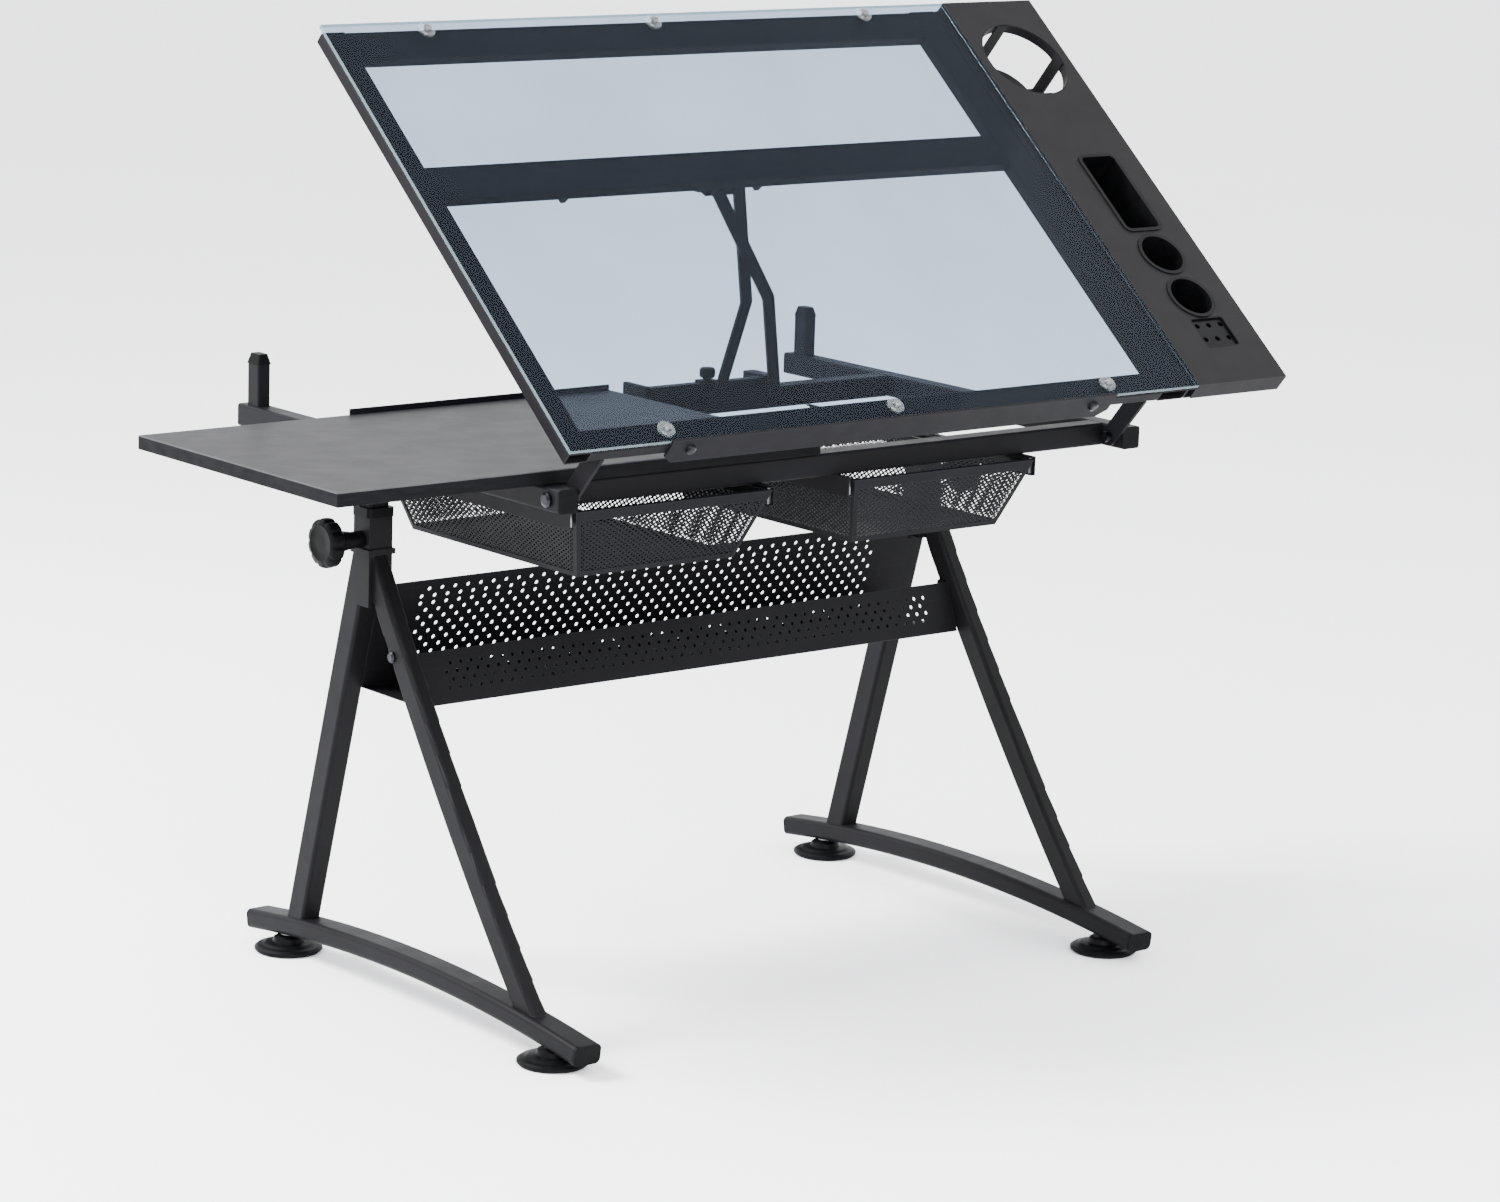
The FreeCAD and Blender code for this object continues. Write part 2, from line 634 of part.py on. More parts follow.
def tool_pad():
    """Shallow pad with two rows of three tool holes."""
    pad = rounded_pocket(PAD_X, PAD_B, 24, 5.0)
    pad = pad.cut(rounded_pocket((PAD_X[0] + 3, PAD_X[1] - 3), (PAD_B[0] + 3, PAD_B[1] - 3), 2.5, 3.0))
    holes = [rod((x, b, -18), (x, b, 1), 3.5) for x in (502, 520, 538) for b in (65.5, 85.5)]
    return cut(pad, holes)


def cup_holder():
    """Ring in the tray's round hole, two straps under it and a round floor."""
    floor_n = -62.0
    ring = rod((*CUP_AT, -12), (*CUP_AT, 0), CUP_R).cut(rod((*CUP_AT, -13), (*CUP_AT, 1), CUP_R - 3))
    floor = rod((*CUP_AT, floor_n), (*CUP_AT, floor_n + 2), 46.0)
    shapes = [ring, floor]
    for along_x in (True, False):
        for away in (-1, 1):
            near = away * (CUP_R - 5)
            far = away * (CUP_R - 2.5)
            span = sorted((near, far))
            foot = sorted((away * 30, far))
            strap = [(span, (floor_n, -1)), (foot, (floor_n, floor_n + 2))]
            for reach, height in strap:
                x = reach if along_x else (-8, 8)
                b = (-8, 8) if along_x else reach
                shapes.append(box([CUP_AT[0] + v for v in x], [CUP_AT[1] + v for v in b], height))
    return fused(shapes)


# ---- lift linkage ----
def rod_brackets():
    """Two plates under the cross bar that carry the upper rod."""
    plates = []
    for x in ((-206.0, -200.0), (60.0, 66.0)):
        plate = plate_x(x, [(ROD_B - 14, -20), (ROD_B + 9, -20), (ROD_B + 9, ROD_N - 9), (ROD_B - 9, ROD_N - 9),
                            (ROD_B - 14, -30)])
        plates.append(plate.cut(rod((x[0] - 1, ROD_B, ROD_N), (x[1] + 1, ROD_B, ROD_N), 5.0)))
    return plates


def upper_rod():
    return rod((-206, ROD_B, ROD_N), (66, ROD_B, ROD_N), 5.0)


def lift_carriage():
    """Bush that slides on the upper rod; the swivel turns between its two collars."""
    left = LIFT_UPPER_X[1] - 14
    right = LIFT_UPPER_X[0] + 14
    shapes = [rod((left, ROD_B, ROD_N), (right, ROD_B, ROD_N), 7.5),
              rod((left, ROD_B, ROD_N), (left + 3, ROD_B, ROD_N), 10.5),
              rod((right - 3, ROD_B, ROD_N), (right, ROD_B, ROD_N), 10.5)]
    return fused(shapes).cut(rod((left - 1, ROD_B, ROD_N), (right + 1, ROD_B, ROD_N), 5.0 + RUNNING))


def lift_frame():
    """Upper rod point, unit vector down the arms' plane, its unit normal, and the plane's height."""
    turn = FreeCAD.Rotation(V(1, 0, 0), TILT_REST)
    upper = V(0, HINGE_Y, HINGE_Z) + turn.multVec(V(0, ROD_B - HINGE_B, ROD_N - HINGE_N))
    run = V(0, GUIDE_Y, GUIDE_Z) - upper
    down = V(run)
    down.normalize()
    return upper, down, V(1, 0, 0).cross(down), run.Length


def in_lift_plane(shape):
    """Places a shape drawn with x along the rod, y down the arms' plane and z behind it."""
    upper, down, normal, _ = lift_frame()
    turn = FreeCAD.Rotation(V(1, 0, 0), down, normal, "ZXY")
    moved = shape.copy()
    moved.Placement = FreeCAD.Placement(upper, turn).multiply(moved.Placement)
    return moved


def lift_swivel():
    """Ring round the carriage with a pad in front of it that holds both arms' upper pins."""
    gap = 0.3
    left = LIFT_UPPER_X[1] - 11 + gap
    right = LIFT_UPPER_X[0] + 11 - gap
    ring = rod((left, 0, 0), (right, 0, 0), 11.0)
    pad_back = -(min(ARM_LAYER) - ARM_T / 2 - gap)
    pad = box((left, right), (-8, 8), (pad_back, 0))
    body = fused([ring, pad]).cut(rod((left - 1, 0, 0), (right + 1, 0, 0), 7.5 + RUNNING))
    pins = [rod((x, 0, pad_back + 1), (x, 0, -layer - ARM_T / 2), 3.0) for x, layer in zip(LIFT_UPPER_X, ARM_LAYER)]
    front = -(max(ARM_LAYER) + ARM_T / 2 + gap)
    long_pin_head = [rod((LIFT_UPPER_X[1], 0, front + gap), (LIFT_UPPER_X[1], 0, front), 3.0),
                     rod((LIFT_UPPER_X[1], 0, front), (LIFT_UPPER_X[1], 0, front - 3), 6.0)]
    return in_lift_plane(fused([body] + pins + long_pin_head))


def stadium(start, end, z):
    """Flat bar with round ends, from one point to another."""
    run = V(end[0] - start[0], end[1] - start[1], 0)
    side = V(-run.y, run.x, 0)
    side.normalize()
    side = side * (ARM_W / 2)
    a = V(start[0], start[1], z[0])
    b = V(end[0], end[1], z[0])
    outline = [a + side, b + side, b - side, a - side, a + side]
    height = z[1] - z[0]
    bar = Part.Face(Part.makePolygon(outline)).extrude(V(0, 0, height))
    ends = [Part.makeCylinder(ARM_W / 2, height, point) for point in (a, b)]
    return fused([bar] + ends)


def lift_arm(index):
    """Bowed flat arm; its upper hole turns on the swivel, its lower end carries a spacer behind."""
    height = lift_frame()[3]
    top = (LIFT_UPPER_X[index], 0.0)
    foot = (LIFT_LOWER_X[index], height)
    share = 0.57
    length = math.hypot(foot[0] - top[0], height)
    bend = (top[0] + (foot[0] - top[0]) * share + ARM_BOW[index] * height / length,
            height * share - ARM_BOW[index] * (foot[0] - top[0]) / length)
    layer = ARM_LAYER[index]
    z = (-layer - ARM_T / 2, -layer + ARM_T / 2)
    arm = fused([stadium(top, bend, z), stadium(bend, foot, z)])
    arm = arm.cut(rod((*top, z[0] - 1), (*top, z[1] + 1), 3.0 + RUNNING))
    spacer = rod((*foot, z[1]), (*foot, -SPACER_END), 5.0)
    return in_lift_plane(fused([arm, spacer]))


def guide_block(x):
    return box(x, (GUIDE_Y - 8.5, GUIDE_Y + 8.5), (GUIDE_Z - 8.5, GUIDE_Z + 8.5))


def lift_guide():
    """Square bar on two feet off the rear cross rail; the right foot is the long arm's anchor."""
    half = GUIDE / 2
    shapes = [box(GUIDE_X, (GUIDE_Y - half, GUIDE_Y + half), (GUIDE_Z - half, GUIDE_Z + half))]
    for x in ((GUIDE_X[0], GUIDE_X[0] + 6), (LIFT_LOWER_X[1] - 4, GUIDE_X[1])):
        shapes.append(guide_block(x))
        shapes.append(box(x, (GUIDE_Y, REAR_RAIL_Y + 20), (RAIL_TOP, GUIDE_Z + 8.5)))
    return fused(shapes)


def lift_slider():
    half = GUIDE / 2 + RUNNING
    hole_x = (SLIDER_X[0] - 1, SLIDER_X[1] + 1)
    hole = box(hole_x, (GUIDE_Y - half, GUIDE_Y + half), (GUIDE_Z - half, GUIDE_Z + half))
    block = guide_block(SLIDER_X).cut(hole)
    middle = sum(SLIDER_X) / 2
    return block.cut(rod((middle, GUIDE_Y, GUIDE_Z + GUIDE / 2), (middle, GUIDE_Y, 640), 3 + RUNNING))


def lift_clamp_knob():
    """Small thumb knob on top of the slider; its screw stops short of the guide bar."""
    middle = sum(SLIDER_X) / 2
    profile = [(0, 3), (2.3, 3), (2.3, 5), (5, 5), (5, 8), (7, 9), (14, 9), (16, 7)]
    return turned(profile, (middle, GUIDE_Y, GUIDE_Z + GUIDE / 2 + 0.5), (0, 0, 1))


# ---- every node, by name ----
def nodes():
    parts = {}
    for name, side in SIDES:
        x = side * FRAME_X
        parts["foot_bar_" + name] = [foot_bar(x)]
        parts["rear_leg_" + name] = [rear_leg(x)]
        parts["front_leg_" + name] = [front_leg(x, side)]
        parts["post_sleeve_" + name] = [post_sleeve(x, side)]
        parts["height_knob_" + name] = [height_knob(side)]
        parts["inner_post_" + name] = [inner_post(x)]
        parts["side_rail_" + name] = [side_rail(x, side)]
        for end, y in (("front", -FOOT_Y), ("rear", FOOT_Y)):
            parts["levelling_foot_" + end + "_" + name] = [levelling_foot(x, y)]
    both = [side * FRAME_X for _, side in SIDES]
    parts["foot_bar_plugs"] = [plug for x in both for plug in foot_bar_plugs(x)]
    parts["foot_inserts"] = [foot_insert(x, y) for x, y in foot_positions()]
    parts["sleeve_collars"] = [sleeve_collar(x) for x in both]
    parts["shelf_trough"] = [shelf_trough()]
    parts["shelf_bolts"] = [shelf_bolt(side * FRAME_X, side) for _, side in SIDES]
    parts["hinge_bolts"] = [hinge_bolt(side) for _, side in SIDES]
    parts["front_cross_rail"] = [fused([cross_rail(FRONT_RAIL_Y)] + spring_tabs())]
    parts["rear_cross_rail"] = [cross_rail(REAR_RAIL_Y)]
    parts["rail_end_caps"] = [rail_end_cap(x, y, away) for x in both for y, away in zip(RAIL_Y, (-1, 1))]
    parts["rest_caps"] = [rest_cap(x) for x in both]
    parts["side_board"] = [side_board()]
    parts["board_stop"] = [board_stop()]
    parts["drawer_channels"] = drawer_channels()
    parts["tension_spring"] = [tension_spring()]
    parts["lift_guide"] = [lift_guide()]
    parts["lift_slider"] = [lift_slider()]
    parts["lift_clamp_knob"] = [lift_clamp_knob()]
    for name, centre in DRAWERS:
        parts["drawer_basket_" + name] = [drawer_basket(centre)]
        parts["drawer_slides_" + name] = drawer_slides(centre)
    parts.update({name: [tilted(shape) for shape in shapes] for name, shapes in top_nodes().items()})
    parts["lift_swivel"] = [lift_swivel()]
    parts["lift_arm_short"] = [lift_arm(0)]
    parts["lift_arm_long"] = [lift_arm(1)]
    return parts


def top_nodes():
    """The nodes that tilt, drawn in the top's own frame."""
    inside = (FRAME_X0 + 30, FRAME_X1 - 40)
    bar_end = 592.0
    return {
        "glass_panel": [glass_panel()],
        "frame_side_left": [frame_bar((FRAME_X0, inside[0]), (0, bar_end), False)],
        "frame_side_right": [frame_bar((inside[1], FRAME_X1), (0, bar_end), False)],
        "frame_lower": [fused([frame_bar(inside, (0, 30), True)] + [hinge_lug(side) for _, side in SIDES])],
        "frame_upper": [frame_bar(inside, (552, bar_end), True)],
        "frame_middle": [fused([frame_bar(inside, (350, 395), True)] + rod_brackets())],
        "tray_mount_bar": [frame_bar((FRAME_X1, TRAY_X[0]), (0, bar_end), False)],
        "glass_clips": glass_clips(),
        "clip_screws": clip_screws(),
        "stop_ledge": [stop_ledge()],
        "ledge_bolts": ledge_bolts(),
        "tool_tray": [tool_tray()],
        "pen_insert": [pen_insert()],
        "pot_inserts": [pot_insert(b) for b in POT_B],
        "tool_pad": [tool_pad()],
        "cup_holder": [cup_holder()],
        "upper_rod": [upper_rod()],
        "lift_carriage": [lift_carriage()],
    }


def main():
    os.makedirs("parts", exist_ok=True)
    for name, shapes in nodes().items():
        group = Part.makeCompound(shapes)
        group.translate(V(-ORIGIN_X, -ORIGIN_Y, 0))
        group.exportStep("parts/" + name + ".step")
        size = group.BoundBox
        print(name, len(group.Solids), group.isValid(), round(size.XMin, 1), round(size.XMax, 1),
              round(size.YMin, 1), round(size.YMax, 1), round(size.ZMin, 1), round(size.ZMax, 1))


main()
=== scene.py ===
import json
import math

import bpy
from mathutils import Matrix, Vector


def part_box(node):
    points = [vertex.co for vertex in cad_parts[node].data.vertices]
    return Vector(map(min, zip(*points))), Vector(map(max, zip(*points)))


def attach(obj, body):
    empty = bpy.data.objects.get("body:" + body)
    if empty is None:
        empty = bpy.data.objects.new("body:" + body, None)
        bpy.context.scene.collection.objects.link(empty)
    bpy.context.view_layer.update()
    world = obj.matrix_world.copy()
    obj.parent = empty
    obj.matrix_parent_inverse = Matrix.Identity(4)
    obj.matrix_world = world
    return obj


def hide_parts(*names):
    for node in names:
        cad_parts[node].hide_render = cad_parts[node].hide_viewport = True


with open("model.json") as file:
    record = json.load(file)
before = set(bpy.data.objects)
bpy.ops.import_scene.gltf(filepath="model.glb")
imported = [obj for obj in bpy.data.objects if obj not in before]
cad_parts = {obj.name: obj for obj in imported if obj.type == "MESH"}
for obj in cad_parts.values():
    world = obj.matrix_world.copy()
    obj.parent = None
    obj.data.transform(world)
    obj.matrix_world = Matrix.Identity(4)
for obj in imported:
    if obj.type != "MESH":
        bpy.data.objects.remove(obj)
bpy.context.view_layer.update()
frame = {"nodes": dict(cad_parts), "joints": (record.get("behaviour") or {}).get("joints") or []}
NODES = frame["nodes"]
SIDES = ("left", "right")

# ---- places, in metres, from the frame ----
MM = 0.001
# The middle of the four levelling feet: the table is laid out about it.
FOOT_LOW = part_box("levelling_foot_front_left")[0]
FOOT_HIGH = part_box("levelling_foot_rear_right")[1]
MID = Vector(((FOOT_LOW.x + FOOT_HIGH.x) / 2, (FOOT_LOW.y + FOOT_HIGH.y) / 2, 0))
TILT = [j for j in frame["joints"] if j["name"] == "top_tilt"][0]
PIVOT = Vector(TILT["pos_m"])
# The pivot lies this far up the slope from the glass's lower edge, and this far off its face.
PIVOT_B = 11.9 * MM
PIVOT_N = -91 * MM
# The top's lean at rest.
SLOPE = math.radians(40)


def stand(x, y, z):
    """A point given in millimetres from the floor midway between the feet."""
    return MID + Vector((x, y, z)) * MM


def slope_matrix():
    """Places a shape drawn with y up the slope from the glass's lower edge and z off its face."""
    turn = Matrix.Rotation(SLOPE, 4, "X")
    home = Matrix.Translation(Vector((0, -PIVOT_B, -PIVOT_N)))
    return Matrix.Translation(Vector((MID.x, PIVOT.y, PIVOT.z))) @ turn @ home


# ---- node-based materials ----
# Feature sizes of the noises, per metre.
CLOUD = 7.0
PEEL = 140.0
GRAIN = 900.0
MOULD_GRAIN = 1500.0
FIBRE = 420.0
# Rounding that counts as an edge where a coat gets its lighter edge colour, part edge wear and part painted
# highlight, and the rays that look for it.
EDGE_WEAR_AND_HIGHLIGHT_RADIUS = 0.9 * MM
EDGE_RAYS = 4
# How fast a pane turns mirror-like towards a grazing view.
GRAZING = 7.0


class Look:
    """One Principled material with procedural colour, roughness and bump, in object coordinates."""

    def __init__(self, name, roughness=0.5, metallic=0.0, **sockets):
        self.material = bpy.data.materials.new(name)
        self.material.use_nodes = True
        self.tree = self.material.node_tree
        self.shader = self.tree.nodes["Principled BSDF"]
        self.shader.inputs["Roughness"].default_value = roughness
        self.shader.inputs["Metallic"].default_value = metallic
        for socket, value in sockets.items():
            self.shader.inputs[socket.replace("_", " ")].default_value = value
        self.place = self.tree.nodes.new("ShaderNodeTexCoord").outputs["Object"]
        self.height = None

    def link(self, source, target):
        self.tree.links.new(source, target)

    def noise(self, scale, detail, stretch=None):
        place = self.place
        if stretch:
            mapping = self.tree.nodes.new("ShaderNodeMapping")
            mapping.inputs["Scale"].default_value = stretch
            self.link(place, mapping.inputs["Vector"])
            place = mapping.outputs["Vector"]
        texture = self.tree.nodes.new("ShaderNodeTexNoise")
        texture.inputs["Scale"].default_value = scale
        texture.inputs["Detail"].default_value = detail
        self.link(place, texture.inputs["Vector"])
        return texture.outputs["Fac"]

    def ramp(self, value, low, high, start=0.35, end=0.65):
        node = self.tree.nodes.new("ShaderNodeMapRange")
        for name, number in (("From Min", start), ("From Max", end), ("To Min", low), ("To Max", high)):
            node.inputs[name].default_value = number
        self.link(value, node.inputs["Value"])
        return node.outputs["Result"]

    def mix(self, factor, first, second):
        node = self.tree.nodes.new("ShaderNodeMix")
        node.data_type = "RGBA"
        self.link(factor, node.inputs["Factor"])
        for value, socket in ((first, node.inputs["A"]), (second, node.inputs["B"])):
            if isinstance(value, bpy.types.NodeSocket):
                self.link(value, socket)
            else:
                socket.default_value = (*value, 1)
        return node.outputs["Result"]

    def edges(self, radius):
        """1 along sharp edges and 0 on flat faces."""
        bevel = self.tree.nodes.new("ShaderNodeBevel")
        bevel.samples = EDGE_RAYS
        bevel.inputs["Radius"].default_value = radius
        geometry = self.tree.nodes.new("ShaderNodeNewGeometry")
        dot = self.tree.nodes.new("ShaderNodeVectorMath")
        dot.operation = "DOT_PRODUCT"
        self.link(bevel.outputs["Normal"], dot.inputs[0])
        self.link(geometry.outputs["Normal"], dot.inputs[1])
        return self.ramp(dot.outputs["Value"], 1.0, 0.0, 0.8, 0.99)

    def colour(self, socket):
        self.link(socket, self.shader.inputs["Base Color"])

    def rough(self, socket):
        self.link(socket, self.shader.inputs["Roughness"])

    def bump(self, height, distance, strength):
        node = self.tree.nodes.new("ShaderNodeBump")
        node.inputs["Distance"].default_value = distance
        node.inputs["Strength"].default_value = strength
        self.link(height, node.inputs["Height"])
        if self.height:
            self.link(self.height, node.inputs["Normal"])
        self.height = node.outputs["Normal"]
        self.link(self.height, self.shader.inputs["Normal"])


def powder_coat(name, dark, light, edge, grain=GRAIN):
    """Satin powder coat: fine orange-peel bump, faint cloudy tone and lighter edges, part edge wear and part
    painted highlight.
    """
    look = Look(name, Specular_IOR_Level=0.045)
    cloud = look.noise(CLOUD, 2.0)
    speck = look.noise(grain, 2.0)
    tone = look.mix(look.ramp(cloud, 0.0, 1.0), dark, light)
    tone = look.mix(look.ramp(speck, 0.0, 0.35, 0.5, 0.75), tone, light)
    # The lighter edge colour is part edge wear and part painted highlight.
    look.colour(look.mix(look.edges(EDGE_WEAR_AND_HIGHLIGHT_RADIUS), tone, edge))
    look.rough(look.ramp(look.noise(35.0, 5.0), 0.46, 0.52))
    look.bump(speck, 0.03 * MM, 0.2)
    look.bump(look.noise(PEEL, 2.0), 0.06 * MM, 0.1)
    return look.material


def moulded_plastic(name, dark, light, rough=(0.4, 0.55)):
    """Injection-moulded black plastic with a fine spark-eroded grain."""
    look = Look(name, Specular_IOR_Level=0.04)
    look.colour(look.mix(look.ramp(look.noise(60.0, 4.0), 0.0, 1.0), dark, light))
    look.rough(look.ramp(look.noise(25.0, 4.0), *rough))
    look.bump(look.noise(MOULD_GRAIN, 1.0), 0.08 * MM, 0.5)
    return look.material


def plated_steel(name, dark, light, stretch, rough=(0.22, 0.4)):
    """Zinc-plated or drawn steel, streaked along its working direction."""
    look = Look(name, metallic=1.0)
    streak = look.noise(60.0, 4.0, stretch)
    look.colour(look.mix(look.ramp(streak, 0.0, 1.0), dark, light))
    look.rough(look.ramp(look.noise(90.0, 3.0), *rough))
    look.bump(streak, 0.05 * MM, 0.3)
    return look.material


def board_laminate():
    """Dark grey melamine face with a fine speckle."""
    look = Look("board_laminate", Specular_IOR_Level=0.03)
    cloud = look.noise(4.0, 2.0)
    fibre = look.noise(FIBRE, 3.0)
    tone = look.ramp(cloud, 0.0, 1.0, 0.2, 0.8)
    tone = look.mix(tone, (0.0120, 0.0118, 0.0127), (0.0132, 0.0130, 0.0140))
    look.colour(look.mix(look.ramp(fibre, 0.0, 0.4), tone, (0.0165, 0.0165, 0.0177)))
    look.rough(look.ramp(look.noise(30.0, 5.0), 0.42, 0.46))
    look.bump(fibre, 0.1 * MM, 0.4)
    return look.material


def board_edge(name, tone, light):
    """Banded edge of the board, a little streaky along its length; also serves for the painted highlight along
    its upper edges.
    """
    look = Look(name, Specular_IOR_Level=0.03)
    look.colour(look.mix(look.ramp(look.noise(40.0, 5.0, (1, 1, 14)), 0.0, 1.0), tone, light))
    look.rough(look.ramp(look.noise(80.0, 3.0), 0.42, 0.6))
    look.bump(look.noise(600.0, 2.0), 0.1 * MM, 0.4)
    return look.material


def see_through(name, tint, veil, cover, gloss_rough, head_on=0.04):
    """Clear pane or clip: a tinted body, a thin milky veil, and gloss that grows towards grazing."""
    look = Look(name)
    tree = look.tree
    tree.nodes.remove(look.shader)
    clear = tree.nodes.new("ShaderNodeBsdfTransparent")
    haze = look.noise(9.0, 5.0)
    paler = [min(c * 1.03, 1) for c in tint]
    look.link(look.mix(look.ramp(haze, 0.0, 1.0), tint, paler), clear.inputs["Color"])
    milk = tree.nodes.new("ShaderNodeBsdfDiffuse")
    brighter = [c * 1.05 for c in veil]
    look.link(look.mix(look.ramp(haze, 0.0, 1.0), veil, brighter), milk.inputs["Color"])
    gloss = tree.nodes.new("ShaderNodeBsdfGlossy")
    gloss.inputs["Roughness"].default_value = gloss_rough
    body = tree.nodes.new("ShaderNodeMixShader")
    body.inputs["Fac"].default_value = cover
    look.link(clear.outputs["BSDF"], body.inputs[1])
    look.link(milk.outputs["BSDF"], body.inputs[2])
    facing = tree.nodes.new("ShaderNodeLayerWeight")
    facing.inputs["Blend"].default_value = 0.5
    sharp = tree.nodes.new("ShaderNodeMath")
    sharp.operation = "POWER"
    sharp.inputs[1].default_value = GRAZING
    look.link(facing.outputs["Facing"], sharp.inputs[0])
    face = tree.nodes.new("ShaderNodeMixShader")
    look.link(look.ramp(sharp.outputs["Value"], head_on, 1.0, 0.0, 1.0), face.inputs["Fac"])
    look.link(body.outputs["Shader"], face.inputs[1])
    look.link(gloss.outputs["BSDF"], face.inputs[2])
    look.link(face.outputs["Shader"], tree.nodes["Material Output"].inputs["Surface"])
    return look.material


def studio_floor():
    """Pale matt paper sweep."""
    look = Look("studio_floor", roughness=0.85)
    drift = look.ramp(look.noise(0.6, 3.0), 0.0, 1.0)
    look.colour(look.mix(drift, (0.86, 0.86, 0.885), (0.88, 0.88, 0.905)))
    return look.material


# Each coat's third colour is its lighter edge: part edge wear, part painted highlight.
STEEL = powder_coat("powder_black", (0.0042, 0.0041, 0.0049), (0.0050, 0.0049, 0.0058),
                    (0.014, 0.014, 0.016))
TRAY = powder_coat("powder_tray", (0.0064, 0.0061, 0.0069), (0.0071, 0.0068, 0.0076),
                   (0.018, 0.0175, 0.019), 1100.0)
MESH = powder_coat("powder_mesh", (0.0034, 0.0034, 0.0041), (0.0048, 0.0048, 0.0056),
                   (0.014, 0.014, 0.016), 1200.0)
PLASTIC = moulded_plastic("black_plastic", (0.0016, 0.0016, 0.0020), (0.0026, 0.0026, 0.0031))
INSERT = moulded_plastic("insert_plastic", (0.0014, 0.0014, 0.0017), (0.0024, 0.0024, 0.0028),
                         (0.28, 0.42))
ZINC = plated_steel("zinc_steel", (0.10, 0.10, 0.105), (0.19, 0.19, 0.195), (1, 8, 1))
SPRING = plated_steel("spring_steel", (0.16, 0.16, 0.155), (0.30, 0.30, 0.285), (1, 1, 1), (0.3, 0.45))
BOLT = plated_steel("black_oxide", (0.012, 0.012, 0.014), (0.03, 0.03, 0.034), (1, 1, 6), (0.3, 0.45))
BOARD = board_laminate()
BOARD_SIDE = board_edge("board_side", (0.0030, 0.0030, 0.0036), (0.0045, 0.0045, 0.0052))
# A painted highlight along the board's upper edges.
BOARD_EDGE_HIGHLIGHT = board_edge("board_edge_highlight", (0.035, 0.035, 0.037), (0.05, 0.05, 0.053))
GLASS = see_through("tinted_glass", (0.545, 0.61, 0.675), (0.26, 0.29, 0.36), 0.012, 0.03, 0.002)
GLASS_EDGE = see_through("glass_edge", (0.45, 0.56, 0.60), (0.20, 0.27, 0.30), 0.3, 0.05)
CLEAR = see_through("clear_plastic", (0.88, 0.90, 0.92), (0.40, 0.43, 0.45), 0.07, 0.08, 0.05)


# ---- mesh helpers ----
def piece(name, verts, faces, material, body):
    """New mesh piece from points in metres, riding on a body."""
    mesh = bpy.data.meshes.new(name)
    mesh.from_pydata([tuple(v) for v in verts], [], faces)
    mesh.validate()
    mesh.materials.append(material)
    thing = bpy.data.objects.new(name, mesh)
    bpy.context.scene.collection.objects.link(thing)
    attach(thing, body)
    return thing


def evaluated_mesh(thing):
    graph = bpy.context.evaluated_depsgraph_get()
    return bpy.data.meshes.new_from_object(thing.evaluated_get(graph))


def apply_modifiers(thing):
    mesh = evaluated_mesh(thing)
    thing.modifiers.clear()
    thing.data = mesh


def solidify(thing, thickness, offset):
    modifier = thing.modifiers.new("sheet", "SOLIDIFY")
    modifier.thickness = thickness
    modifier.offset = offset
    apply_modifiers(thing)


def bevelled(thing, width):
    modifier = thing.modifiers.new("edge", "BEVEL")
    modifier.width = width
    modifier.segments = 2
    modifier.limit_method = "ANGLE"
    modifier.angle_limit = math.radians(35)
    apply_modifiers(thing)


def smooth_by_angle(thing, angle):
    mesh = thing.data
    mesh.polygons.foreach_set("use_smooth", [True] * len(mesh.polygons))
    mesh.set_sharp_from_angle(angle=math.radians(angle))
    mesh.update()


class Sheet:
    """Collects points and faces for one piece, welding points that fall together."""

    def __init__(self):
        self.verts = []
        self.faces = []
        self.known = {}

    def point(self, position):
        key = tuple(round(c * 1e6) for c in position)
        if key not in self.known:
            self.known[key] = len(self.verts)
            self.verts.append(Vector(position))
        return self.known[key]

    def face(self, *positions):
        corners = []
        for position in positions:
            index = self.point(position)
            if index not in corners:
                corners.append(index)
        if len(corners) > 2:
            self.faces.append(corners)

    def box(self, low, high):
        x, y, z = zip(low, high)
        c = [(x[i], y[j], z[k]) for i in (0, 1) for j in (0, 1) for k in (0, 1)]
        for quad in ((0, 1, 3, 2), (4, 6, 7, 5), (0, 4, 5, 1), (2, 3, 7, 6), (0, 2, 6, 4), (1, 5, 7, 3)):
            self.face(*[c[i] for i in quad])


SIDES_OF_HOLE = 16
POINTS_PER_EDGE = SIDES_OF_HOLE // 4
# A hole's first point faces its cell's lower left corner.
FIRST_POINT = math.radians(225)


def cell_rim(u, v, width, height):
    """Points round a cell's rectangle, evenly along each edge from its lower left corner."""
    steps = [k / POINTS_PER_EDGE for k in range(POINTS_PER_EDGE)]
    rim = [(u + width * s, v) for s in steps]
    rim += [(u + width, v + height * s) for s in steps]
    rim += [(u + width * (1 - s), v + height) for s in steps]
    rim += [(u, v + height * (1 - s)) for s in steps]
    return rim


